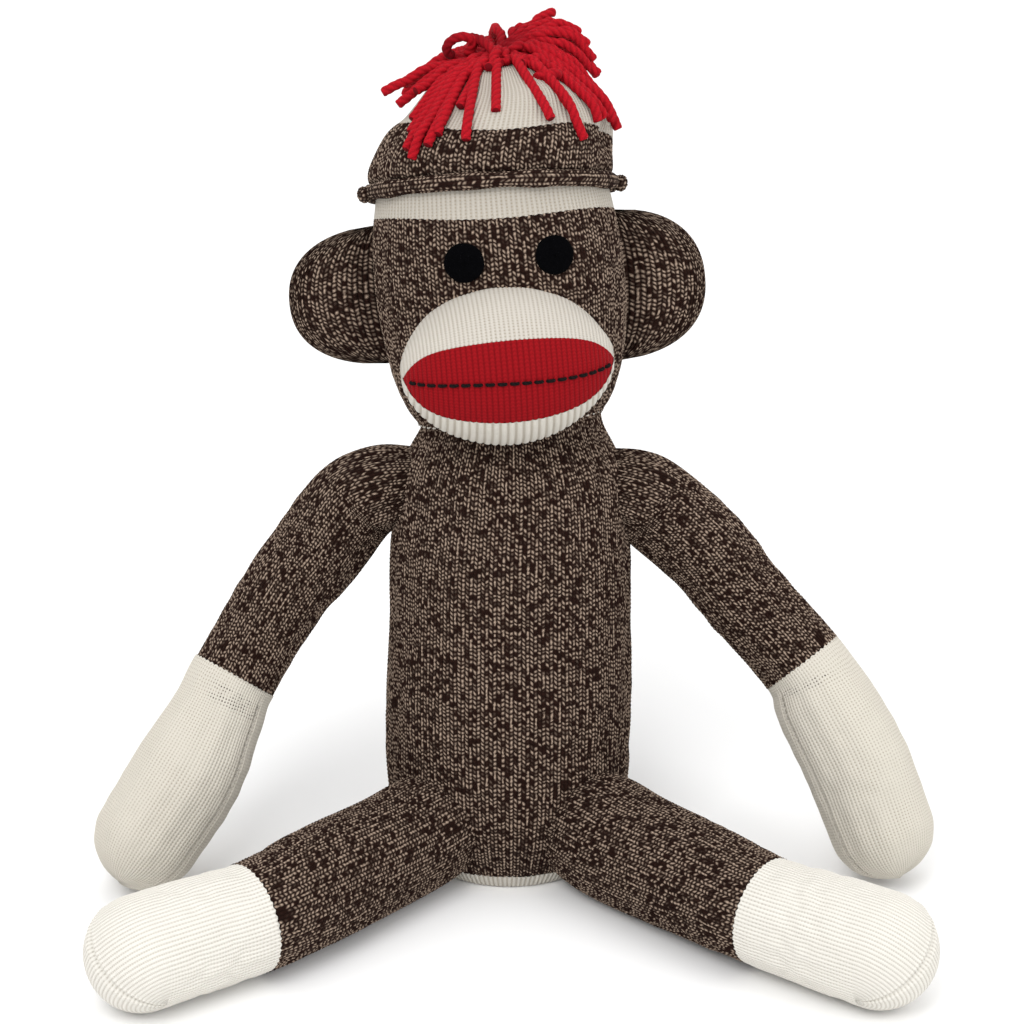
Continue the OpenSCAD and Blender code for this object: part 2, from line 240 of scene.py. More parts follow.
def sample_grid(grid, u, v):
    """Smooth reading of a coarse grid that wraps round in U, at u and v from 0 to 1."""
    rows, cols = grid.shape[:2]
    x, y = u * cols, v * (rows - 1)
    xi, yi = np.floor(x).astype(int), np.minimum(np.floor(y).astype(int), rows - 2)
    xf, yf = (x - xi)[..., None], (y - yi)[..., None]

    def weights(f):
        return (0.5 * (-f ** 3 + 2 * f ** 2 - f), 0.5 * (3 * f ** 3 - 5 * f ** 2 + 2),
                0.5 * (-3 * f ** 3 + 4 * f ** 2 + f), 0.5 * (f ** 3 - f ** 2))
    total = 0
    for j, wy in enumerate(weights(yf)):
        row = np.clip(yi + j - 1, 0, rows - 1)
        for i, wx in enumerate(weights(xf)):
            total = total + wx * wy * grid[row, (xi + i - 1) % cols]
    return total


class Surface:
    """A smooth surface, read at u and v from 0 to 1. The cloth simulation's movement is added to it."""

    puff = None
    wraps = True
    # The cloth stops short of a limb's tip, because the solver can't move cloth with edges of no length
    cloth_end = 1.0

    def at(self, u, v):
        p = self.shape(u, v)
        if self.puff is not None:
            p = p + sample_grid(self.puff, u % 1, np.minimum(v / self.cloth_end, 1))
        return p


class Turned(Surface):
    """A profile of (radius, height) turned about a place's Z axis. U starts at the back."""

    def __init__(self, place, profile, warp=None):
        self.place, self.warp = place, warp
        self.curve = spline(profile, 600)
        s = run_lengths(self.curve)
        self.length, self.share = s[-1], s / s[-1]
        self.girth = TAU * self.curve[:, 0].max()

    def share_at_height(self, z):
        return float(np.interp(z, self.curve[:, 1], self.share))

    def shape(self, u, v):
        r = np.interp(v, self.share, self.curve[:, 0])
        z = np.interp(v, self.share, self.curve[:, 1])
        a = TAU * u + math.pi / 2
        p = np.stack([r * np.cos(a), r * np.sin(a), z], -1)
        if self.warp:
            p = self.warp(p)
        return self.place.world(p)


class Limb(Surface):
    """A tube along a curve. U starts on the side_dir side. Its end is closed by a seam, as a sock's toe is,
    or gathered to a point."""

    def __init__(self, points, radii, side_dir, roll=0, blunt=1.0, gathered=False, seam_aside=0.0):
        c = spline(points, 500)
        r = spline(np.array(radii, float)[:, None], 500)
        t = unit(np.gradient(c, axis=0))
        x = carry(side_dir, t)
        y = np.cross(t, x)
        a = math.radians(roll)
        x, y = x * math.cos(a) + y * math.sin(a), y * math.cos(a) - x * math.sin(a)
        s = run_lengths(c)
        self.table = np.hstack([c, x, y, t, r])
        self.run, self.tube_length = s, s[-1]
        self.end_length = r[-1, 0] * math.pi / 2 * (1 + blunt) / 2
        self.length = self.tube_length + self.end_length
        self.girth = TAU * r.max()
        self.blunt, self.gathered, self.seam_aside = blunt, gathered, seam_aside
        self.cloth_end = 0.985 if gathered else self.tube_length / self.length

    def share_at(self, point):
        """The share of the length where the curve passes nearest to a point."""
        near = np.argmin(np.linalg.norm(self.table[:, :3] - point, axis=1))
        return float(self.run[near] / self.length)

    def middle(self, share):
        return np.array([np.interp(share * self.length, self.run, k) for k in self.table[:, :3].T])

    def heading(self, share):
        near = np.argmin(np.abs(self.run - share * self.length))
        return self.table[near, 9:12]

    def shape(self, u, v):
        s = v * self.length
        f = np.stack([np.interp(s, self.run, k) for k in self.table.T], -1)
        c, x, y, t, r = f[..., :3], f[..., 3:6], f[..., 6:9], f[..., 9:12], f[..., 12:]
        q = (np.clip((s - self.tube_length) / self.end_length, 0, 1) * math.pi / 2)[..., None]
        a = (TAU * u)[..., None]
        if self.gathered:
            return c + r * ((np.cos(a) * x + np.sin(a) * y) * np.cos(q) + np.sin(q) * self.blunt * t)
        aside = np.sin(a) * np.cos(q) + self.seam_aside * np.abs(np.sin(a)) * (1 - np.cos(q))
        ahead = np.sqrt(np.maximum(np.sin(a) ** 2 - aside ** 2, 0)) * self.blunt
        return c + r * (np.cos(a) * x + aside * y + ahead * t)


class Strip(Surface):
    """A patch given by a formula of u and v that doesn't wrap round."""

    wraps = False

    def __init__(self, formula, girth, length):
        self.shape, self.girth, self.length = formula, girth, length


def normals(p, wraps):
    if wraps:
        du = np.roll(p, -1, 1) - np.roll(p, 1, 1)
    else:
        du = np.gradient(p, axis=1)
    dv = np.gradient(p, axis=0)
    n = np.cross(du, dv)
    return n / np.maximum(np.linalg.norm(n, axis=-1, keepdims=True), 1e-9)


def jersey(depth):
    """Relief of stocking stitch: two legs in each wale, swelling once in each course."""
    def relief(w, c):
        lean = np.where(w % 1 < 0.5, 0.25, -0.25)
        swell = 0.75 + 0.25 * np.cos(TAU * (c + lean))
        return depth * (np.abs(np.sin(TAU * w)) * swell - 0.5)
    return relief


def ribs(depth):
    """Relief of ribbing: one rounded ridge in each wale."""
    def relief(w, c):
        return depth * (np.abs(np.sin(math.pi * w)) ** 0.7 * (0.94 + 0.06 * np.cos(TAU * c)) - 0.5)
    return relief


def lumps(amount, waves, seed):
    """Soft unevenness of the stuffing, as a sum of long waves."""
    draw = np.random.default_rng(seed)
    parts = []
    for _ in range(6):
        parts.append((draw.integers(1, waves), draw.uniform(0.5, waves / 2), draw.uniform(0, 6.28),
                      draw.uniform(0, 6.28)))

    def relief(u, v):
        return sum(amount / 3 * np.sin(TAU * k * u + a) * np.sin(TAU * m * v + b)
                   for k, m, a, b in parts)
    return relief


def grid_mesh(name, p, wales, courses, wraps, toe=False, cap_low=False, cap_high=False):
    """A mesh of the grid p, with the knit's coordinates as its UV map. A toe's last row is sewn to itself."""
    rows, cols = p.shape[:2]
    index = np.arange(rows * cols).reshape(rows, cols)
    if toe:
        mirror = (-np.arange(cols)) % cols
        p[-1] = (p[-1] + p[-1][mirror]) / 2
        index[-1] = index[-1][np.minimum(np.arange(cols), mirror)]
    p = p.copy()
    p[..., 2] = floor_contact(p[..., 2])
    after = np.roll(index, -1, 1) if wraps else index[:, 1:]
    here = index if wraps else index[:, :-1]
    w_here = wales if wraps else wales[:, :-1]
    w_after = w_here + (wales[:, 1:2] - wales[:, :1])
    c_after = np.roll(courses, -1, 1) if wraps else courses[:, 1:]
    c_here = courses if wraps else courses[:, :-1]
    quads = squares(here, after)
    uv = np.stack([squares(w_here, w_after), squares(c_here, c_after)], -1)
    keep = (quads[:, 2] != quads[:, 3])
    quads, uv = quads[keep], uv[keep]
    loops, sizes, coords = [quads.ravel()], [4] * len(quads), [uv.reshape(-1, 2)]
    for wanted, ring in ((cap_low, index[0][::-1]), (cap_high, index[-1])):
        if wanted:
            loops.append(ring)
            sizes.append(cols)
            coords.append(np.zeros((cols, 2)))
    return knit_object(name, p.reshape(-1, 3), np.concatenate(loops), np.array(sizes), np.concatenate(coords))


def floor_contact(z):
    """Presses what is near the floor, or under it, against it."""
    pressed = np.maximum(z, 0) * (1 - FLOOR_GAP / FLOOR_NEAR) + FLOOR_GAP
    return np.where(z < FLOOR_NEAR, pressed, z)


def knit_object(name, points, loops, sizes, coords):
    used = np.unique(loops)
    renumber = np.zeros(len(points), int)
    renumber[used] = np.arange(len(used))
    mesh = bpy.data.meshes.new(name)
    mesh.vertices.add(len(used))
    mesh.vertices.foreach_set("co", (points[used] * MM).astype(np.float32).ravel())
    mesh.loops.add(len(loops))
    mesh.loops.foreach_set("vertex_index", renumber[loops].astype(np.int32))
    mesh.polygons.add(len(sizes))
    mesh.polygons.foreach_set("loop_start", np.concatenate([[0], np.cumsum(sizes)[:-1]]).astype(np.int32))
    mesh.update(calc_edges=True)
    layer = mesh.uv_layers.new(name="stitch")
    layer.data.foreach_set("uv", coords.astype(np.float32).ravel())
    mesh.shade_smooth()
    mesh.validate()
    return add_object(name, mesh)


def knit(name, surface, low, high, gauge, relief, per_wale=4, per_course=2, extra=None, toe=False, **caps):
    """Knits a surface between two shares of its length. low and high are numbers or functions of u."""
    wales = round(surface.girth / gauge[0])
    courses = surface.length / gauge[1]
    count = wales * per_wale
    u = np.arange(count if surface.wraps else count + 1) / count
    low = low(u) if callable(low) else np.full_like(u, low)
    high = high(u) if callable(high) else np.full_like(u, high)
    rows = max(3, round(float((high - low).max()) * courses * per_course)) + 1
    t = np.linspace(0, 1, rows)[:, None]
    v = low + (high - low) * t
    u = np.broadcast_to(u, v.shape)
    p = surface.at(u, v)
    n = normals(p, surface.wraps)
    height = relief(u * wales, v * courses)
    if extra:
        height = height + extra(u, v)
    if toe:
        height[-1] = height[-2] - TOE_SINK
    p = p + n * height[..., None]
    return grid_mesh(name, p, u * wales, v * courses, surface.wraps, toe=toe, **caps)


# ---- cloth simulation ----

def inflate(surface, rows, cols, pinned, slack, stiffness, limit):
    """Fills a surface as stuffing does. Its coarse cloth starts slack millimetres too small, swells under
    pressure, and is held where it is sewn. The solver works at CLOTH_SCALE times the size, because pressure
    hardly moves cloth as small as the toy's."""
    u, v = np.meshgrid(np.arange(cols) / cols, np.linspace(0, surface.cloth_end, rows))
    wanted = surface.shape(u, v)
    hold = np.maximum(pinned(u, v), v > surface.cloth_end - 0.03)
    start = wanted - normals(wanted, True) * (slack * (1 - hold))[..., None]
    index = np.arange(rows * cols).reshape(rows, cols)
    quads = squares(index, np.roll(index, -1, 1))
    mesh = bpy.data.meshes.new("cloth")
    mesh.from_pydata((start.reshape(-1, 3) * MM * CLOTH_SCALE).tolist(), [], quads.tolist())
    obj = add_object("cloth", mesh)
    group = obj.vertex_groups.new(name="sewn")
    for i, weight in enumerate(hold.ravel()):
        if weight > 0:
            group.add([i], float(weight), "REPLACE")
    cloth = obj.modifiers.new("cloth", "CLOTH")
    cloth.settings.vertex_group_mass = "sewn"
    cloth.settings.quality = 6
    cloth.settings.mass = 0.01
    cloth.settings.tension_stiffness = stiffness
    cloth.settings.compression_stiffness = stiffness
    cloth.settings.shear_stiffness = stiffness / 3
    cloth.settings.bending_stiffness = 0.5
    cloth.settings.use_pressure = True
    cloth.settings.uniform_pressure_force = 4
    cloth.settings.effector_weights.gravity = 0
    cloth.point_cache.frame_start, cloth.point_cache.frame_end = 1, CLOTH_FRAMES
    for f in range(1, CLOTH_FRAMES + 1):
        bpy.context.scene.frame_set(f)
    done = obj.evaluated_get(bpy.context.evaluated_depsgraph_get())
    co = np.zeros(rows * cols * 3, np.float32)
    done.data.vertices.foreach_get("co", co)
    move = co.reshape(rows, cols, 3) / (MM * CLOTH_SCALE) - wanted
    size = np.linalg.norm(move, axis=-1, keepdims=True)
    surface.puff = move * np.minimum(1, limit / np.maximum(size, 1e-6))
    bpy.data.objects.remove(obj)
    bpy.data.meshes.remove(mesh)
    bpy.context.scene.frame_set(1)


# ---- materials ----

class Value:
    """A number in a material's node tree, so that patterns read as formulas."""

    def __init__(self, tree, socket):
        self.tree, self.socket = tree, socket

    def math(self, operation, *others):
        node = self.tree.nodes.new("ShaderNodeMath")
        node.operation = operation
        for slot, value in enumerate((self, *others)):
            if isinstance(value, Value):
                self.tree.links.new(value.socket, node.inputs[slot])
            else:
                node.inputs[slot].default_value = value
        return Value(self.tree, node.outputs[0])

    def __add__(self, other):
        return self.math("ADD", other)

    def __sub__(self, other):
        return self.math("SUBTRACT", other)

    def __mul__(self, other):
        return self.math("MULTIPLY", other)

    def flip(self):
        return (self * -1) + 1

    def floor(self):
        return self.math("FLOOR")

    def fract(self):
        return self.math("FRACT")

    def size(self):
        return self.math("ABSOLUTE")

    def above(self, limit):
        return self.math("GREATER_THAN", limit)

    def power(self, exponent):
        return self.math("POWER", exponent)

    def wave(self):
        """1 at whole numbers, 0 half way between."""
        return ((self * TAU).math("COSINE") * 0.5) + 0.5

    def rise(self, low, high):
        """Goes smoothly from 0 to 1 between low and high."""
        node = self.tree.nodes.new("ShaderNodeMapRange")
        node.interpolation_type = "SMOOTHSTEP"
        self.tree.links.new(self.socket, node.inputs["Value"])
        node.inputs["From Min"].default_value = low
        node.inputs["From Max"].default_value = high
        return Value(self.tree, node.outputs["Result"])

    def choose(self, zero, one):
        """zero where this is 0 and one where it is 1."""
        return (self * one) + (self.flip() * zero)


class Paint:
    """A material under construction."""

    def __init__(self, name, roughness, sheen, specular=0.25, sheen_tint=(1, 1, 1)):
        self.material = bpy.data.materials.new(name)
        self.material.use_nodes = True
        self.tree = self.material.node_tree
        self.shader = self.tree.nodes["Principled BSDF"]
        self.shader.inputs["Roughness"].default_value = roughness
        self.shader.inputs["Specular IOR Level"].default_value = specular
        self.shader.inputs["Sheen Weight"].default_value = sheen
        self.shader.inputs["Sheen Roughness"].default_value = 0.5
        self.shader.inputs["Sheen Tint"].default_value = (*sheen_tint, 1)

    def stitch(self):
        node = self.tree.nodes.new("ShaderNodeUVMap")
        node.uv_map = "stitch"
        apart = self.tree.nodes.new("ShaderNodeSeparateXYZ")
        self.tree.links.new(node.outputs[0], apart.inputs[0])
        return Value(self.tree, apart.outputs[0]), Value(self.tree, apart.outputs[1])

    def join(self, x, y, z=0.0):
        node = self.tree.nodes.new("ShaderNodeCombineXYZ")
        for socket, value in zip(node.inputs, (x, y, z)):
            if isinstance(value, Value):
                self.tree.links.new(value.socket, socket)
            else:
                socket.default_value = value
        return node.outputs[0]

    def dice(self, x, y, z=0.0):
        """A random number from 0 to 1 for each whole x and y."""
        node = self.tree.nodes.new("ShaderNodeTexWhiteNoise")
        node.noise_dimensions = "3D"
        self.tree.links.new(self.join(x, y, z), node.inputs["Vector"])
        return Value(self.tree, node.outputs["Value"])

    def cloud(self, scale, x=None, y=None, detail=2.0):
        """Soft noise, of the object's own coordinates or of x and y."""
        node = self.tree.nodes.new("ShaderNodeTexNoise")
        node.inputs["Scale"].default_value = scale
        node.inputs["Detail"].default_value = detail
        if x is None:
            place = self.tree.nodes.new("ShaderNodeTexCoord")
            self.tree.links.new(place.outputs["Object"], node.inputs["Vector"])
        else:
            self.tree.links.new(self.join(x, y), node.inputs["Vector"])
        return Value(self.tree, node.outputs["Fac"])

    def mix(self, share, a, b):
        node = self.tree.nodes.new("ShaderNodeMix")
        node.data_type = "RGBA"
        self.tree.links.new(share.socket, node.inputs["Factor"])
        for socket, value in ((node.inputs[6], a), (node.inputs[7], b)):
            if isinstance(value, tuple):
                socket.default_value = (*value, 1)
            else:
                self.tree.links.new(value, socket)
        return node.outputs[2]

    def colour(self, socket):
        self.tree.links.new(socket, self.shader.inputs["Base Color"])

    def bump(self, height, distance):
        node = self.tree.nodes.new("ShaderNodeBump")
        node.inputs["Distance"].default_value = distance * MM
        node.inputs["Strength"].default_value = 1.0
        self.tree.links.new(height.socket, node.inputs["Height"])
        self.tree.links.new(node.outputs[0], self.shader.inputs["Normal"])


def marl_material():
    """Brown and oatmeal plies knitted together: a slanted fleck on most legs of the stitches, and streaks."""
    paint = Paint("marled_brown_knit", roughness=0.95, sheen=0.01, specular=0.06, sheen_tint=(0.8, 0.7, 0.6))
    u, v = paint.stitch()
    wale = u.floor()
    inside = u.fract()
    right = inside.above(0.5)
    off = (inside * 2).fract() - 0.5
    wobble = (paint.cloud(1.0, u * 0.6, v * 0.3, detail=2) - 0.5) * 1.6
    phase = paint.dice(wale, right, 8.0)
    slant_left = v + (off * 0.6) + wobble + phase
    slant_right = v - (off * 0.2) + wobble + phase
    along = right.choose(slant_left, slant_right)
    crowd = (paint.cloud(1.0, u * 0.3, v * 0.5, detail=3) - 0.5) * 0.45
    fleck_dice = paint.dice(wale, along.floor(), (right * 5.0) + 3.0)
    fleck_on = (fleck_dice + crowd).rise(0.1, 0.66)
    fleck_long = (along.fract() - 0.5).size().rise(0.0, 0.46).flip()
    fleck_wide = off.size().rise(0.05, 0.55).flip()
    fleck = fleck_on * fleck_long * fleck_wide
    # On some right legs the pale ply stays on top for a few courses
    streak_noise = paint.cloud(1.0, (wale * 7.31) + 2.0, v * 0.36, detail=1)
    streak_on = (streak_noise + (crowd * 0.25)).rise(0.55, 0.62)
    line = ((paint.cloud(1.0, (wale * 3.17) + 5.0, v * 0.6, detail=1) - 0.5) * 0.6 + off).size()
    broken = (along.fract() - 0.5).size().rise(0.1, 0.5).flip() * 0.5 + 0.5
    streak = streak_on * line.rise(0.05, 0.32).flip() * broken
    light = fleck.math("MAXIMUM", right * streak)
    fibre = paint.cloud(2600.0, detail=3)
    shade = paint.cloud(1.0, u * 1.7, v * 1.9, detail=3)
    dark = paint.mix(shade, (0.003, 0.0009, 0.0006), (0.028, 0.0115, 0.008))
    pale = paint.mix(fibre, (0.29, 0.208, 0.153), (0.50, 0.385, 0.30))
    paint.colour(paint.mix(light, dark, pale))
    leg = (off * 2).math("MULTIPLY", off * 2).flip()
    loop = (along - 0.5).wave()
    height = (leg * ((loop * 0.45) + 0.55)) + (fibre * 0.18)
    paint.bump(height, 0.75)
    return paint.material


# Colour of the painted shade in the cream knit's valleys and corners
PAINTED_VALLEY_SHADE = (0.33, 0.285, 0.225)


def cream_material(name, tone, rib, dots, open_rows=None, relief=0.35, gathered_at=None):
    """Cream knit, with painted shade: rib darkens the valleys between wales, dots the corners between
    stitches.
    Past the row gathered_at the wales draw together and their painted shade fades."""
    paint = Paint(name, roughness=0.92, sheen=0.04, specular=0.12, sheen_tint=(1.0, 0.96, 0.9))
    u, v = paint.stitch()
    wobble = (paint.cloud(1.0, u * 0.4, v * 0.2, detail=1) - 0.5) * 0.8
    valley = u.wave()
    corner = valley * (v + wobble).wave()
    fibre = paint.cloud(3000.0, detail=3)
    blotch = paint.cloud(28.0, detail=3)
    light = paint.mix((blotch * 0.6) + (fibre * 0.4), tuple(0.93 * c for c in tone), tone)
    uneven = paint.cloud(60.0, detail=2).rise(0.3, 0.7) * 0.5 + 0.6
    # Painted shade: the valleys between wales and the corners between stitches are darkened
    shade = (valley.rise(0.45, 1.0) * rib) + (corner.rise(0.4, 0.85) * uneven * dots)
    if gathered_at:
        shade = shade * v.rise(gathered_at - 8, gathered_at).flip()
    if open_rows:
        # Just past the colour change the knit is stretched open; the holes are painted dark, as painted shade
        # inside them
        first, last, centre, spread = open_rows
        near = ((u - centre) * (1 / spread)).size().rise(0.6, 1.0).flip()
        slope = v + (u - centre) * 0.12
        rows = slope.rise(first, first + 1.0) * slope.rise(last - 1.5, last).flip()
        missing = paint.dice(u.floor(), (v + 0.5).floor(), 4.0).rise(0.3, 0.4)
        hole_shade = corner.rise(0.42, 0.7) * rows * near * missing
        shade = shade * hole_shade.flip()
        # Painted shade: the holes are coloured dark
        light = paint.mix(hole_shade, light, (0.045, 0.03, 0.022))
    paint.colour(paint.mix(shade.math("MINIMUM", 0.85), light, PAINTED_VALLEY_SHADE))
    height = (valley.flip().power(0.6) * (((v + wobble).wave() * 0.25) + 0.75)) + (fibre * 0.2)
    paint.bump(height, relief)
    return paint.material


def red_material():
    """Red ribbing of the lips, with painted shade in the valleys and between the loops of the stitches."""
    paint = Paint("red_rib_knit", roughness=0.92, sheen=0.02, specular=0.08, sheen_tint=(1, 0.4, 0.4))
    u, v = paint.stitch()
    valley = u.wave()
    fibre = paint.cloud(2600.0, detail=3)
    stitch = (v + (u.fract() - 0.5).size() * 0.9).wave()
    # Painted shade: the red is lighter on each stitch's loop and darker between the loops
    red = paint.mix((fibre * 0.5) + (stitch * 0.3), (0.18, 0.0025, 0.005), (0.335, 0.007, 0.011))
    # Painted shade: the valleys between wales are darkened
    paint.colour(paint.mix(valley.rise(0.55, 1.0) * 0.42, red, (0.09, 0.0015, 0.003)))
    paint.bump((valley.flip().power(0.5) * ((stitch * 0.3) + 0.7)) + (fibre * 0.15), 0.3)
    return paint.material


def yarn_material(name, low, high, sheen=0.25, plies=2, pitch=3.0, groove_shade=0.6, root_shade=(-2, -1)):
    """Twisted yarn or thread: fibre, and shade between the plies. Its root is darker, over root_shade."""
    paint = Paint(name, roughness=0.85, sheen=sheen, specular=0.1, sheen_tint=high)
    fibre = paint.cloud(2200.0, detail=4)
    u, v = paint.stitch()
    hairs = paint.cloud(1.0, u * 9.0, v * 2.2, detail=3)
    groove = (((u - (v * (1 / pitch))) * plies) + 0.5).wave()
    shade = (groove.power(3) * -groove_shade + 1) * v.rise(*root_shade)
    paint.colour(paint.mix(((fibre * 0.5) + (hairs * 0.7) - 0.05) * shade, low, high))
    paint.bump((hairs * 0.7) + (fibre * 0.5) - (groove * 0.8), 0.3)
    return paint.material


def felt_material():
    """Black pressed felt with short fibres."""
    paint = Paint("black_felt", roughness=0.97, sheen=0.004, specular=0.01, sheen_tint=(0.5, 0.5, 0.6))
    fibre = paint.cloud(1900.0, detail=5)
    mat = paint.cloud(600.0, detail=4)
    paint.colour(paint.mix((fibre * 0.6) + (mat * 0.4), (0.0002, 0.0002, 0.0003), (0.003, 0.003, 0.0036)))
    paint.bump((fibre * 0.6) + (mat * 0.6), 0.3)
    return paint.material


MARL = marl_material()
HAND_TONE = (0.60, 0.565, 0.495)
CROWN_TONE = (0.475, 0.44, 0.385)
CREAM_FOOT = cream_material("cream_foot_knit", (0.76, 0.735, 0.675), rib=0.24, dots=0.25)
CREAM_MUZZLE = cream_material("cream_muzzle_knit", (0.54, 0.505, 0.45), rib=0.20, dots=0.7)
CREAM_CROWN = cream_material("cap_crown_knit", CROWN_TONE, rib=0.3, dots=0.8)
CREAM_RIB = cream_material("cream_rib_knit", (0.60, 0.57, 0.51), rib=0.55, dots=0.10)
RED = red_material()
YARN = yarn_material("red_wool_yarn", (0.10, 0.001, 0.004), (0.60, 0.008, 0.018), sheen=0.03, plies=3,
                     pitch=9.0, groove_shade=0.4, root_shade=(-6, 24))
BLACK_THREAD = yarn_material("black_cotton_thread", (0.002, 0.001, 0.001), (0.012, 0.009, 0.009), sheen=0.005)
WHITE_THREAD = yarn_material("white_cotton_thread", (0.5, 0.46, 0.4), (0.72, 0.69, 0.63), sheen=0.03)
FELT_BLACK = felt_material()


def finish(obj, material, body=None, stands_for=()):
    obj.data.materials.append(material)
    if body:
        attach(obj, body)
    if stands_for:
        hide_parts(*stands_for)
    return obj


def sew(name, surface, low, high, gauge, relief, material, slot, body=None, stands_for=(), fill=None, **how):
    """Knits a piece and sews it into the toy, with its material, body and CAD nodes. slot is not used."""
    piece = knit(name, surface, low, high, gauge, relief, **how)
    return finish(piece, material, body, stands_for)


def sew_brown(name, surface, low, high, body=None, stands_for=(), fill=None, depth=0.5, **how):
    """The same, for the marled brown knit."""
    return sew(name, surface, low, high, BROWN, jersey(depth), MARL, "brown_knit", body, stands_for, fill,
               **how)


# ---- threads and yarn ----

def strand(path, radius, plies, pitch, sides, step, ends):
    """A round strand along a path, with its plies twisted in: its points, loops, face sizes and coords."""
    dense = spline(path, 60)
    s = run_lengths(dense)
    count = max(5, int(s[-1] / step))
    at = np.linspace(0, s[-1], count)
    c = np.stack([np.interp(at, s, k) for k in dense.T], -1)
    t = unit(np.gradient(c, axis=0))
    x = carry(np.cross(t[0], (0.3, 0.2, 0.93)), t)
    y = np.cross(t, x)
    a = TAU * np.arange(sides) / sides
    twist = np.abs(np.cos(plies / 2 * (a[None] - TAU * at[:, None] / pitch)))
    r = radius * (0.88 + 0.14 * twist)
    r[0] *= ends
    r[-1] *= ends
    p = c[:, None] + r[..., None] * (np.cos(a)[:, None] * x[:, None] + np.sin(a)[:, None] * y[:, None])
    index = np.arange(count * sides).reshape(count, sides)
    quads = squares(index, np.roll(index, -1, 1))
    rows = np.repeat(np.arange(count - 1), sides)
    cols = np.tile(np.arange(sides), count - 1)
    corner_u = np.stack([cols, cols + 1, cols + 1, cols], -1) / sides
    corner_v = np.stack([at[rows], at[rows], at[rows + 1], at[rows + 1]], -1)
    coords = np.stack([corner_u, corner_v], -1).reshape(-1, 2)
    loops = np.concatenate([quads.ravel(), index[0][::-1], index[-1]])
    sizes = [4] * len(quads) + [sides, sides]
    coords = np.concatenate([coords, np.zeros((2 * sides, 2))])
    return p.reshape(-1, 3), loops, sizes, coords


def strands_object(name, parts):
    points, loops, sizes, coords, start = [], [], [], [], 0
    for p, l, s, c in parts:
        points.append(p)
        loops.append(l + start)
        sizes.extend(s)
        coords.append(c)
        start += len(p)
    return knit_object(name, np.concatenate(points), np.concatenate(loops), np.array(sizes),
                       np.concatenate(coords))


def stitches(surface, track, pitch, share, radius, lift):
    """A running stitch: dashes along a track of (u, v) on a surface, dipping in at both ends."""
    u, v = track
    e = 1e-3

    def spot(at_u, at_v):
        return surface.at(np.array([at_u]), np.array([at_v]))[0]
    line = surface.at(u, v)
    s = run_lengths(line)
    parts = []
    for k in range(int(s[-1] / pitch)):
        a, b = (k + 0.5 - share / 2) * pitch, (k + 0.5 + share / 2) * pitch
        path = []
        for q in np.linspace(a, b, 5):
            uq, vq = np.interp(q, s, u), np.interp(q, s, v)
            out = unit(np.cross(spot(uq + e, vq) - spot(uq - e, vq), spot(uq, vq + e) - spot(uq, vq - e)))
            along = (q - a) / (b - a)
            path.append(spot(uq, vq) + out * (lift + 0.5 * radius - 1.5 * radius * (2 * along - 1) ** 4))
        parts.append(strand(path, radius, plies=2, pitch=3, sides=8, step=0.5, ends=0.45))
    return parts


# ---- torso ----

def torso_surface():
    profile = [(0.6, -13.5), (14, -13.5), (23, -12.5), (32, -6), (39, 4), (44, 16), (46.4, 31), (47, 52),
               (46.8, 72), (46, 92), (46, 110), (45.4, 124), (44.2, 135), (43.2, 144), (41.2, 152),
               (38, 158.5), (33.9, 167), (32, 175), (26, 185.5), (15, 194), (0.6, 197.9)]
    return Turned(torso_place, profile, warp=lambda p: p - (1.0, 0, 0) * smooth_step(-p[..., 2:], -150, -110))


def torso_puckers(u, v):
    """Gathers of the knit where the head is sewn on, and soft stuffing."""
    neck = bell((v - NECK_SHARE) * torso.length, 9)
    return 0.55 * neck * np.sin(TAU * 23 * u + 2 * np.sin(TAU * 3 * u)) + torso_lumps(u, v)


torso = torso_surface()
torso_lumps = lumps(0.7, 6, 11)
NECK_SHARE = torso.share_at_height(155)


def seat_edge(u):
    """Where the torso's knit reaches the height of the seat patch, stepping by stitches."""
    v = np.linspace(0, 0.4, 400)
    height = torso.at(*np.meshgrid(u, v))[..., 2]
    return v[np.argmax(height > SEAT_PATCH + stitch_step(torso, u, 0.6), axis=0)]


def make_torso():
    inflate(torso, 44, 40, lambda u, v: ((v < 0.12) | (v > NECK_SHARE - 0.02)) * 1.0, slack=0.7, stiffness=8,
            limit=2.0)
    sew_brown("torso_knit", torso, seat_edge, 1, "torso", ("torso_skin", "torso_filling", "neck_filling"),
              0.85, extra=torso_puckers, cap_high=True)
    sew("seat_knit", torso, 0, seat_edge, RIB, ribs(0.4), CREAM_RIB, "cream_knit", "torso", ("seat_patch",),
        0.85, cap_low=True)


# ---- head ----

def head_surface():
    profile = [(20, 7.5), (30, 4.6), (34, 4.2), (36, 6.5), (39.6, 13), (43.2, 23), (45.8, 37), (47, 52),
               (47, 64), (46.4, 74), (45.2, 82), (44, 89), (42.5, 96), (39.5, 103), (35, 110), (28, 116),
               (20, 120.5), (10, 123.5), (0.6, 124.5)]
    return Turned(head_place, profile)


head = head_surface()
head_lumps = lumps(0.5, 5, 5)


def forehead_edge(u):
    """The wavy line where the brown face meets the cream crown, stepping by stitches."""
    a = TAU * u
    height = FOREHEAD + 0.8 * np.sin(a * 3 + 2.0) + 1.5 * np.sin(a) + 1.2 * smooth_step(-np.cos(a), 0, 1)
    return np.interp(height + stitch_step(head, u, 0.5), head.curve[:, 1], head.share)


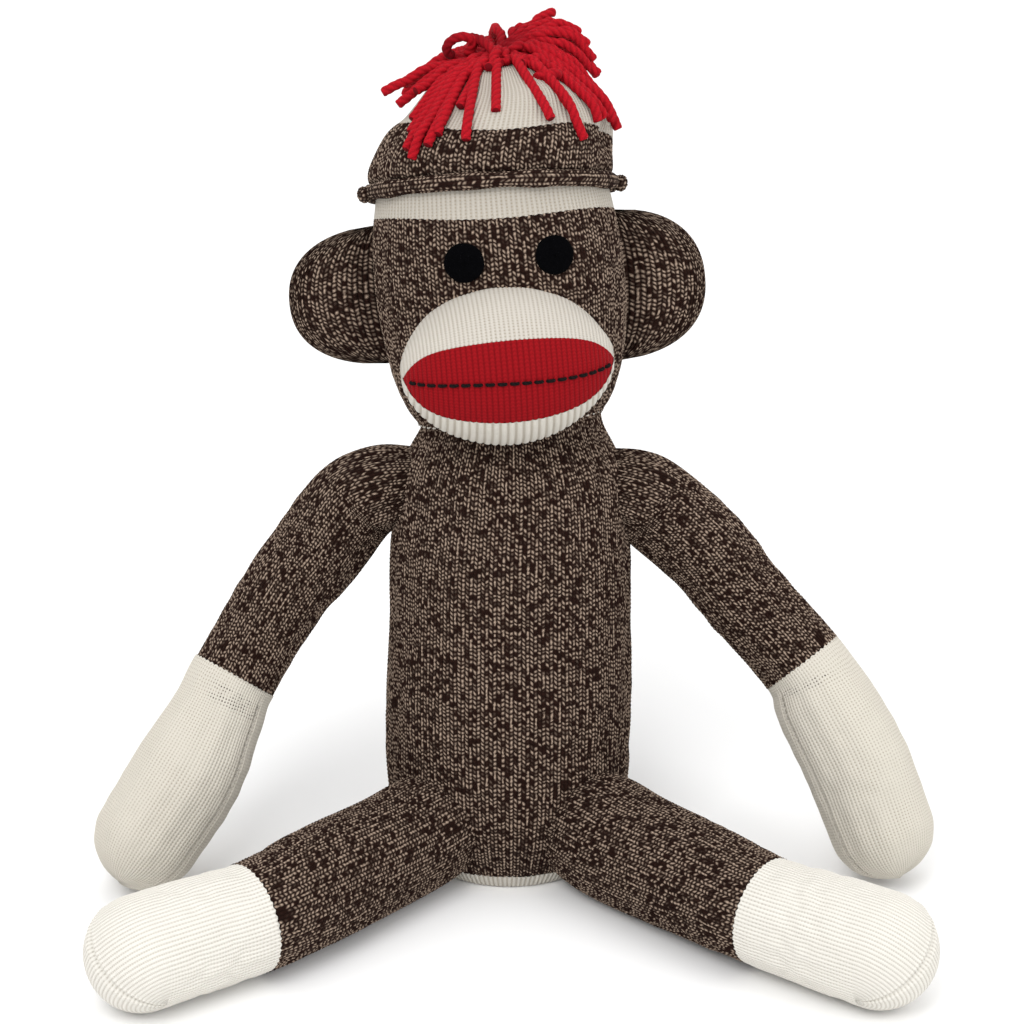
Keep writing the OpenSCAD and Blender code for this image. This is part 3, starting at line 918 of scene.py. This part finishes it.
def make_head():
    inflate(head, 40, 40, lambda u, v: ((v < 0.1) | (v > 0.62)) * 1.0, slack=0.6, stiffness=8, limit=1.5)
    sew_brown("head_knit", head, 0, forehead_edge, "head", ("head_skin", "head_filling"), 0.9,
              extra=head_lumps)
    top_row = head.length / CROWN[1]
    paint = cream_material("head_crown_knit", CROWN_TONE, rib=0.3, dots=0.8, gathered_at=top_row - 9)
    sew("crown_knit", head, forehead_edge, 1, CROWN, ribs(0.22), paint, "cream_knit", "head", ("head_crown",),
        0.9, extra=head_lumps, cap_high=True)


def head_front(x, z, lift):
    """The point of the face at x and height z, in the head's frame, lifted off the fabric."""
    r = np.interp(z, head.curve[:, 1], head.curve[:, 0]) + lift
    return np.stack([x, -np.sqrt(np.maximum(r * r - x * x, 0)), z], -1)


def make_eye(side):
    """A round felt disc that follows the face, with a soft cut edge."""
    rings = [0.02, 0.2, 0.4, 0.6, 0.8, 0.93, 0.985, 1.0, 0.99]
    lifts = [FELT + h for h in (0.35, 0.35, 0.33, 0.3, 0.2, 0.02, -0.35)] + [0.5, -0.4]
    count = 72
    a = TAU * np.arange(count) / count
    draw = np.random.default_rng(21 + side)
    edge = 1 + 0.008 * np.sin(5 * a + side) + 0.006 * draw.standard_normal(count)
    rows = []
    for share, lift in zip(rings[::-1], lifts[::-1]):
        r = EYE_R * share * (edge if share > 0.9 else 1)
        rows.append(head_front(EYE_ASIDE + side * EYE_OFFSET + r * np.cos(-a), EYE_HEIGHT + r * np.sin(-a),
                               lift + 0.03 * draw.standard_normal(count)))
    p = head_place.world(np.array(rows))
    v, u = np.indices(p.shape[:2]) * 1.0
    name = SIDE_NAMES[side] + "_felt_eye"
    disc = grid_mesh(name, p[:, ::-1], u, v, True, cap_high=True)
    finish(disc, FELT_BLACK, "head", (SIDE_NAMES[side] + "_eye",))


# ---- ears ----

def ear_surface(side):
    """A padded half-round ear, knitted straight up, sewn on along its straight side."""
    def formula(u, v):
        b = (2 * v - 1) * 0.999
        z = EAR_HEIGHTS[side] + EAR_HALF_HEIGHTS[side] * b
        start = np.interp(z, head.curve[:, 1], head.curve[:, 0]) - 2.5
        reach = (EAR_REACHES[side] - start) * (1 - np.abs(b) ** 2.25) ** (1 / 2.25)
        turn = u if side == LEFT else 1 - u
        q = 1 - np.abs(2 * turn - 1)
        a = reach * np.sin(q * math.pi / 2)
        body = np.sqrt(np.maximum(1 - (a / np.maximum(reach, 1e-3)) ** 2, 0))
        thick = EAR_HALF_THICKNESS * body * (1 - np.abs(b) ** 4) ** 0.5
        thick = thick * (0.3 + 0.7 * smooth_step(a, 2, 14))
        rim = ((a / (EAR_REACHES[side] - start)) ** 2.25 + np.abs(b) ** 2.25) ** (1 / 2.25)
        thick = thick - 0.9 * bell(rim - 0.84, 0.035)
        y = np.where(turn < 0.5, -1, 1) * np.maximum(thick, 0) + EAR_BACK
        return head_place.world(np.stack([side * (start + a), y, z], -1))
    return Strip(formula, 2 * (EAR_REACHES[side] - HEAD_R + 6), 2 * EAR_HALF_HEIGHTS[side])


def make_ear(side):
    name = SIDE_NAMES[side]
    surface = ear_surface(side)
    ear = sew_brown(name + "_ear_knit", surface, 0, 1, None, nodes(side, "ear_skin", "ear_padding"), 0.5,
                    depth=0.45)
    root, out = joint_place(name + "_ear_fold"), head_place.direction((side, 0, 0))
    metres(root - 3 * out)
    metres(root + 7 * out)
    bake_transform(ear)


# ---- muzzle ----

def muzzle_surface():
    """A lemon shape from under the chin over the front to the top. U runs across the face."""
    def formula(u, v):
        s = (2 * u - 1) * 0.99998
        s = 0.72 * s + 0.28 * np.sin(s * math.pi / 2)
        angle = np.radians(MUZZLE_SPREAD * (2 * v - 1))
        taper = 0.42 + 0.26 * smooth_step(angle, 0.35, 1.4) + 0.14 * smooth_step(-angle, 0.6, 1.5)
        taper = taper - 0.06 * smooth_step(-s, 0.2, 0.8)
        r = MUZZLE_R * (1 - s * s) ** taper
        return head_place.world(np.stack([MUZZLE_ASIDE + MUZZLE_HALF * s, -MUZZLE_FORWARD - r * np.cos(angle),
                                          MUZZLE_HEIGHT + r * np.sin(angle)], -1))
    return Strip(formula, 2 * MUZZLE_HALF, 2 * MUZZLE_R * math.radians(MUZZLE_SPREAD))


muzzle = muzzle_surface()


def muzzle_share(angle):
    return (angle + MUZZLE_SPREAD) / (2 * MUZZLE_SPREAD)


def lips_edge(limit, gauge):
    """An edge of the lips: they narrow to round corners just inside the muzzle's ends."""
    wales = round(muzzle.girth / gauge)

    def edge(u):
        inside = np.clip(1 - np.abs((2 * u - 1) / 0.975) ** 7, 0, 1) ** 0.55
        tooth = 0.9 * np.abs((u * wales) % 1 - 0.5) * inside
        return muzzle_share(MOUTH_ANGLE + (limit - MOUTH_ANGLE + tooth) * inside)
    return edge


def make_muzzle():
    top, bottom = lips_edge(LIPS_TOP, FINE[0]), lips_edge(LIPS_BOTTOM, LIPS[0])
    sew("muzzle_upper_knit", muzzle, top, 1, FINE, ribs(0.13), CREAM_MUZZLE, "cream_knit", "head",
        ("muzzle_upper", "muzzle_filling"), 0.85)
    sew("lips_knit", muzzle, bottom, top, LIPS, ribs(0.2), RED, "red_knit", "head", ("lips",), 0.85)
    sew("muzzle_lower_knit", muzzle, 0, bottom, RIB, ribs(0.6), CREAM_RIB, "cream_knit", "head",
        ("muzzle_lower",), 0.85)


def make_mouth():
    u = np.linspace(0.045, 0.955, 200)
    line = muzzle_share(MOUTH_ANGLE + 1.5 * np.sin(5 * u))
    parts = stitches(muzzle, (u, line), pitch=4.4, share=0.74, radius=0.66, lift=0.4)
    finish(strands_object("mouth_stitches", parts), BLACK_THREAD, "head", ("mouth_stitch",))


def make_neck_stitches():
    """White thread that sews the head to the torso, round the head's rim."""
    u = np.linspace(0, 1, 240)
    rim = np.argmin(np.abs(head.curve[:300] - (35.2, 5.3)).sum(1))
    v = np.full_like(u, head.share[rim])
    parts = stitches(head, (u, v), pitch=4.2, share=0.5, radius=0.36, lift=-0.05)
    finish(strands_object("neck_stitches", parts), WHITE_THREAD, "head", ("neck_seam",))


# ---- cap ----

def cap_slouch(p):
    """Lets the cap's top lean to the toy's left, levels its edge, and pinches a fold into that side."""
    a = np.arctan2(p[..., 1], p[..., 0])
    fold = bell(a + 0.3, 0.2) * bell(p[..., 2] - 15, 7)
    squeeze = 1 - 0.11 * fold
    lean = CAP_LEAN * smooth_step(p[..., 2], 2, 34)
    level = -0.042 * p[..., 0] * smooth_step(-p[..., 2], -30, -5)
    return np.stack([p[..., 0] * squeeze + lean, p[..., 1] * squeeze, p[..., 2] + level], -1)


cap = Turned(cap_place, CAP_PROFILE, warp=cap_slouch)


def cap_edge(u):
    """Where the cap's brown band meets its cream crown: lowest behind the fold on the toy's left."""
    a = TAU * u + math.pi / 2
    height = 18 + 7.5 * smooth_step(-np.cos(a), 0.35, 1) + 0.8 * np.sin(5 * a)
    height = height - 9 * bell(np.sin((a - 0.3) / 2), 0.15)
    return np.interp(height + stitch_step(cap, u, 0.5), cap.curve[:, 1], cap.share)


def make_cap():
    wave = lumps(1.0, 7, 31)

    def band_folds(u, v):
        return wave(u, v) * smooth_step(v, 0.02, 0.2)
    sew_brown("cap_band_knit", cap, 0, cap_edge, "cap", ("cap_band",), extra=band_folds)
    sew("cap_crown_knit", cap, cap_edge, 1, CROWN, ribs(0.22), CREAM_CROWN, "cream_knit", "cap",
        ("cap_crown",), extra=band_folds, cap_high=True)
    make_brim()


def make_brim():
    """The edge rolls outwards into a cord, so its purl side shows and its rows run across the cord."""
    def formula(u, v):
        ring = TAU * v
        a = TAU * u
        tube = BRIM_TUBE * (1 + 0.07 * np.sin(9 * ring) + 0.05 * np.sin(14 * ring + 1))
        r = BRIM_R + tube * np.cos(a)
        p = np.stack([r * np.cos(ring), r * np.sin(ring), -tube * np.sin(a) - 0.6], -1)
        return cap_place.world(cap_slouch(p))
    roll = Strip(formula, TAU * BRIM_TUBE, TAU * BRIM_R)
    roll.wraps = True
    gauge = (TAU * BRIM_TUBE / 6, BROWN[1])
    sew("cap_brim_roll", roll, 0, 1, gauge, jersey(0.45), MARL, "brown_knit", "cap", ("cap_brim",),
        per_wale=5, per_course=3)
    for side in (LEFT, RIGHT):
        start = cap_place.world(cap_slouch(np.array((side * (BRIM_R - 3), -4, -0.6))))
        end = cap_place.world(cap_slouch(np.array((side * (BRIM_R + 2.6), -6.5, -1.4))))
        knot = Limb([start, (start + end) / 2 + (0, 0, 0.3), end], [2.7, 2.5, 3.1], (0, 0, 1), blunt=0.8)
        sew_brown("cap_brim_knot_" + SIDE_NAMES[side], knot, 0, 1, "cap", depth=0.45, per_wale=6,
                  per_course=4, toe=True)


# Pompom strands: turn from the front towards the toy's left, reach, drop of the tip, arch in between
FRONT_STRANDS = (
    (-74, 45, 8, 3), (-65, 42, 12, 4), (-55, 38, 5, 4), (-43, 41, 16, 5), (-36, 42, 22, 6), (-28, 43, 26, 6),
    (-14, 38, 19, 6), (-33, 33, 8, 5), (-20, 36, 14, 7), (-2, 30, 10, 8), (9, 24, 7, 9), (17, 34, 14, 6),
    (30, 36, 10, 8), (31, 42, 21, 7), (44, 38, 16, 8), (54, 38, 15, 8), (62, 42, 18, 10), (70, 43, 21, 12),
    (77, 45, 22, 12), (90, 37, 5, 10), (97, 36, 0, 11), (103, 34, -5, 10), (108, 31, -10, 8),
    (118, 24, -11, 7),
    (130, 27, -14, 5), (-22, 41, 17, 5), (-24, 33, 12, 7), (-38, 30, 7, 7), (-8, 27, 4, 9), (-50, 30, 7, 5),
    (58, 31, 8, 9), (74, 33, 8, 10), (-31, 38, 19, 5), (-25, 38, 22, 6), (-16, 30, 9, 7), (-39, 36, 14, 5),
    (24, 28, 6, 7), (-20, 26, 5, 7))
BACK_STRANDS = (
    (112, 39, 10, 12), (124, 40, 18, 10), (136, 38, 6, 12), (148, 41, 20, 9), (160, 38, 12, 10),
    (172, 42, 22, 8), (184, 38, 10, 11), (196, 41, 20, 8), (208, 38, 14, 7), (220, 42, 20, 5),
    (232, 38, 14, 5), (244, 40, 18, 4),
    (256, 38, 13, 4), (268, 37, 10, 4), (150, 20, -8, 6))


def strand_path(knot, turn, reach, drop, arch, sway):
    """A strand leaves the knot in an arch, falls under its weight and lies on the cap where it meets it."""
    profile = np.array(CAP_PROFILE)
    lift = YARN_R + YARN_GAP
    path = []
    for q in np.linspace(0, 1, 9):
        out = reach * q ** 0.9
        up = 4 * arch * q * (1 - q) - drop * q ** 1.6
        a = math.radians(turn) + sway * q
        path.append(knot + (out * math.sin(a), -out * math.cos(a), up))
    local = (np.array(path) - cap_place.origin) @ cap_place.axes.T
    lean = CAP_LEAN * smooth_step(local[:, 2], 2, 34)
    local[:, 0] -= lean
    r = np.linalg.norm(local[:, :2], axis=1)
    wall = np.interp(local[:, 2], profile[:, 1], profile[:, 0]) + lift
    rest = np.interp(r, profile[::-1, 0], profile[::-1, 1]) + lift
    inside, hanging = r < wall, local[:, 2] < CAP_SHOULDER
    local[:, :2] *= np.where(inside & hanging, wall / np.maximum(r, 1e-6), 1)[:, None]
    local[:, 2] = np.where(inside & ~hanging, np.maximum(local[:, 2], rest), local[:, 2])
    local[:, 0] += lean
    return cap_place.world(local)


def yarn_loop(middle, across, along, share):
    """A loop of yarn lying on the knot; share is how much of the ring it makes."""
    a = np.linspace(-math.pi * share, math.pi * share, 11)[:, None]
    return middle + np.cos(a) * np.array(across) + np.sin(a) * np.array(along)


def yarn(path):
    return strand(path, YARN_R, plies=3, pitch=9, sides=16, step=0.6, ends=0.8)


def make_pompom():
    """Cut yarn tied at the middle of the cap's top."""
    draw = np.random.default_rng(SEED)
    knot = cap_place.world((CAP_LEAN, 0, CAP_PROFILE[-1][1] + 1.5))
    parts = []
    for turn, reach, drop, arch in FRONT_STRANDS + BACK_STRANDS:
        path = strand_path(knot, turn, reach, drop, arch, draw.uniform(-0.06, 0.06))
        path[1:] += draw.normal(0, 0.5, (len(path) - 1, 3))
        parts.append(yarn(path))
    over_knot = [(-11, 2, 9), (-7, -4, 9.5), (-2, -11, 7), (1, -18, 1), (2, -22, -6)]
    loops = (yarn_loop(knot + (-15, -3, 7), (0, -1, 3.9), (4.9, 0, 1), 0.85),
             yarn_loop(knot + (17, -22, 0.5), (4.5, 0, 1), (0, -3.5, 2.6), 0.9),
             yarn_loop(knot + (5, -5, 5), (3, 0, 2.5), (0, -3, 2.5), 0.8),
             spline(knot + np.array(over_knot), 9))
    parts.extend(yarn(path) for path in loops)
    finish(strands_object("pompom_yarn", parts), YARN, "cap", ("pompom", "pompom_tie"))


# ---- limbs ----

def reach_end(node, side, radius):
    """The middle of a limb's round end, from the box of its CAD node."""
    low, high = corners(node)
    x = high[0] - radius if side == LEFT else low[0] + radius
    return np.array([x, low[1] + radius, low[2] + radius])


def end_seam(limb, groove=0.9):
    """The toe seam sinks between two soft welts."""
    def relief(u, v):
        d = (1 - v) * limb.length
        return 0.35 * bell(d - 2.4, 1.2) - groove * bell(d, 0.9)
    return relief


def side_seam(limb, start):
    """A seam along the limb's side, from start to its tip."""
    def relief(u, v):
        d = np.abs((u + 0.5) % 1 - 0.5) * limb.girth
        on = smooth_step(v, start, start + 0.03)
        return on * (0.22 * bell(d - 2.2, 1.0) - 0.4 * bell(d, 0.9))
    return relief


def zigzag(surface, share, gauge, size):
    """A colour change that steps up and down with every wale."""
    wales = round(surface.girth / gauge)

    def edge(u):
        return share + size / surface.length * (np.abs((u * wales) % 1 - 0.5) * 2 - 0.5)
    return edge


def add_reliefs(*reliefs):
    return lambda u, v: sum(r(u, v) for r in reliefs)


def make_arm(side):
    name = SIDE_NAMES[side]
    pivot, wrist = joint_place(name + "_arm_swing"), joint_place(name + "_wrist_bend")
    end = reach_end(name + "_hand", side, HAND_R)
    out = np.array([side, 0, 0])
    down = unit(wrist - pivot)
    up = np.array([0, 0, 1])
    across = (wrist - pivot) * (0, 1, 0)
    # From inside the torso over the shoulder, down to the wrist and along the hand
    bow, aside, lift = HAND_BOW[side], ARM_ASIDE[side], ARM_LIFT[side]
    points = [pivot - 34 * out + 11 * up, pivot + (aside - 19) * out + (6.5 + lift) * up,
              pivot + (aside - 7.5) * out + (lift - 0.5) * up,
              pivot + 9.8 * out - 15 * up + 0.2 * across,
              pivot + 23.3 * out - 30.2 * up + 0.5 * across, wrist,
              wrist + 0.25 * (end - wrist) + bow * 0.6 * out, wrist + 0.6 * (end - wrist) + bow * out, end]
    radii = [13, 16, 17.2, 17.2, ARM_R, WRIST_R] + PALM_RADII[side]
    arm = Limb(points, radii, (-side, 0, 0), roll=-side * HAND_ROLL, blunt=0.95, gathered=True)
    at_wrist = arm.share_at(wrist)
    inflate(arm, 44, 26, lambda u, v: ((v < 0.2) | (np.abs(v - at_wrist) < 0.02)) * 1.0, slack=0.25,
            stiffness=6, limit=0.7)
    edge = zigzag(arm, at_wrist, 2 * FINE[0], 0.6)

    def root_gathers(u, v):
        return 0.7 * bell(v * arm.length - 18, 8) * np.sin(TAU * 9 * u)
    sleeve = sew_brown(name + "_sleeve_knit", arm, 0, edge, None,
                       nodes(side, "sleeve", "arm_filling", "shoulder_seam"), 0.8,
                       extra=add_reliefs(root_gathers, lumps(0.6, 5, 40 + side)))
    metres(pivot - 14 * down)
    metres(pivot + 12 * down)
    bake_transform(sleeve)
    seams = add_reliefs(side_seam(arm, at_wrist), lumps(0.5, 5, 50 + side))
    wales, first = round(arm.girth / FINE[0]), at_wrist * arm.length / FINE[1]
    open_rows = (first + 4, first + (11 if side == RIGHT else 8), wales * (0.5 + 0.4 * side), 13)
    paint = cream_material(name + "_hand_cream_knit", HAND_TONE, rib=0.05, dots=0.9, open_rows=open_rows,
                           relief=0.2)
    hand = sew(name + "_hand_knit", arm, edge, 0.997, FINE, ribs(0.1), paint, "cream_knit", None,
               nodes(side, "hand", "hand_filling"), 0.85, per_wale=3, extra=seams, cap_high=True)
    track = (np.zeros(300), np.linspace(at_wrist + 0.03, 0.985, 300))
    parts = stitches(arm, track, pitch=2.4, share=0.62, radius=0.3, lift=-0.35)
    seam = strands_object(name + "_hand_seam", parts)
    finish(seam, WHITE_THREAD)
    ahead = arm.heading(at_wrist)
    for piece in (hand, seam):
        metres(wrist)
        metres(wrist + BEND * ahead)
        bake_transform(piece)


def make_leg(side):
    name = SIDE_NAMES[side]
    pivot, ankle = joint_place(name + "_leg_twist"), joint_place(name + "_ankle_bend")
    end = reach_end(name + "_foot", side, FOOT_R)
    out = joint_axis(name + "_leg_twist") * (1 if side == LEFT else -1)
    out = out if out[0] * side > 0 else -out
    # From inside the torso to the hip, the ankle and the foot's round end
    points = [pivot - 36 * out, pivot - 16 * out, pivot + 3 * out, pivot + 0.55 * (ankle - pivot), ankle,
              ankle + 0.5 * (end - ankle), end]
    radii = [19, LEG_ROOT_R[side], LEG_ROOT_R[side], THIGH_R, ANKLE_R, 20.9, FOOT_R]
    leg = Limb(points, radii, np.cross((0, 0, 1), out) * side, roll=side * FOOT_ROLL,
               seam_aside=side * TOE_ASIDE)
    at_ankle = leg.share_at(ankle) + ANKLE_SHIFT[side] / leg.length
    start = leg.middle(at_ankle)
    inflate(leg, 40, 30, lambda u, v: ((v < 0.3) | (np.abs(v - at_ankle) < 0.02)) * 1.0, slack=0.25,
            stiffness=6, limit=0.7)
    edge = zigzag(leg, at_ankle, 2 * FINE[0], 0.6)
    shin = sew_brown(name + "_leg_knit", leg, 0, edge, None, nodes(side, "leg", "leg_filling", "hip_seam"),
                     0.8, extra=lumps(0.6, 5, 60 + side))
    metres(pivot - 12 * out)
    metres(pivot + 14 * out)
    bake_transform(shin)
    foot = sew(name + "_foot_knit", leg, edge, 1, FOOT, ribs(0.14), CREAM_FOOT, "cream_knit", None,
               nodes(side, "foot", "foot_filling"), 0.85, per_wale=3,
               extra=add_reliefs(end_seam(leg), lumps(0.3, 5, 70 + side)), toe=True)
    ahead = leg.heading(at_ankle)
    metres(start)
    metres(start + BEND * ahead)
    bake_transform(foot)


def make_tail():
    root, out = joint_place("tail_twist"), joint_axis("tail_twist")
    out = out if out[1] > 0 else -out
    low, high = corners("tail_skin")
    end = np.array([0, high[1] - TAIL_R, low[2] + TAIL_R])
    points = [root - 22 * out, root - 8 * out, root + 6 * out, root * 0.6 + end * 0.4 + (0, 0, -0.5),
              root * 0.25 + end * 0.75, end]
    tail = Limb(points, [8.6, 8.8, TAIL_R, TAIL_R, TAIL_R, TAIL_R - 0.3], (1, 0, 0), blunt=1.0)
    inflate(tail, 36, 16, lambda u, v: (v < 0.15) * 1.0, slack=0.2, stiffness=4, limit=0.6)
    piece = sew_brown("tail_knit", tail, 0, 1, None, ("tail_skin", "tail_filling", "tail_seam"), 0.8,
                      depth=0.45, extra=add_reliefs(end_seam(tail, 0.6), lumps(0.4, 4, 80)), toe=True)
    metres(root - 5 * out)
    metres(root + 8 * out)
    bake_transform(piece)


# ---- scene ----

def make_stage():
    mesh = bpy.data.meshes.new("studio_floor")
    half, back, top = 2.5, 2.0, 2.5
    rows = [(-half, 0.0), (back - 0.6, 0.0), (back - 0.3, 0.05), (back - 0.08, 0.25), (back, 0.6),
            (back, top)]
    verts = [(x, y, z) for y, z in rows for x in (-half, half)]
    faces = [(2 * i, 2 * i + 1, 2 * i + 3, 2 * i + 2) for i in range(len(rows) - 1)]
    mesh.from_pydata(verts, [], faces)
    floor = add_object("studio_floor", mesh)
    paint = bpy.data.materials.new("studio_paper")
    paint.use_nodes = True
    shader = paint.node_tree.nodes["Principled BSDF"]
    shader.inputs["Base Color"].default_value = (0.93, 0.93, 0.93, 1)
    shader.inputs["Roughness"].default_value = 0.9
    shader.inputs["Specular IOR Level"].default_value = 0.1
    mesh.materials.append(paint)


def make_light(name, place, target, size, power):
    light = bpy.data.lights.new(name, "AREA")
    light.size, light.energy = size, power
    obj = add_object(name, light)
    obj.location = place
    look_at(obj, target)


def look_at(obj, target):
    obj.rotation_euler = (Vector(target) - obj.location).to_track_quat("-Z", "Y").to_euler()


def make_camera():
    """Looks down on the toy from the front."""
    elevation, distance, lens = math.radians(24), 1.3, 120.3
    aim = (NECK + (0, -8, -30.2)) * MM
    camera = bpy.data.cameras.new("camera")
    camera.lens, camera.sensor_width = lens, 36
    obj = add_object("camera", camera)
    obj.location = (aim[0], aim[1] - distance * math.cos(elevation), aim[2] + distance * math.sin(elevation))
    look_at(obj, aim)
    bpy.context.scene.camera = obj


def make_lighting():
    world = bpy.data.worlds.new("studio")
    world.use_nodes = True
    world.node_tree.nodes["Background"].inputs[0].default_value = (1, 1, 1, 1)
    world.node_tree.nodes["Background"].inputs[1].default_value = 0.95
    bpy.context.scene.world = world
    make_light("key_light", (-0.5, -1.1, 1.5), (0, 0, 0.15), 0.9, 13)
    make_light("fill_light", (1.1, -0.8, 0.9), (0, 0, 0.12), 1.0, 5)
    make_light("top_light", (0, 0.3, 1.7), (0, 0, 0.1), 1.2, 5)
    bpy.context.scene.view_settings.view_transform = "Standard"
    bpy.context.scene.view_settings.look = "None"


make_camera()
make_torso()
make_head()
make_muzzle()
make_mouth()
make_neck_stitches()
make_cap()
make_pompom()
for side in (LEFT, RIGHT):
    make_eye(side)
    make_ear(side)
    make_arm(side)
    make_leg(side)
make_tail()
make_stage()
make_lighting()
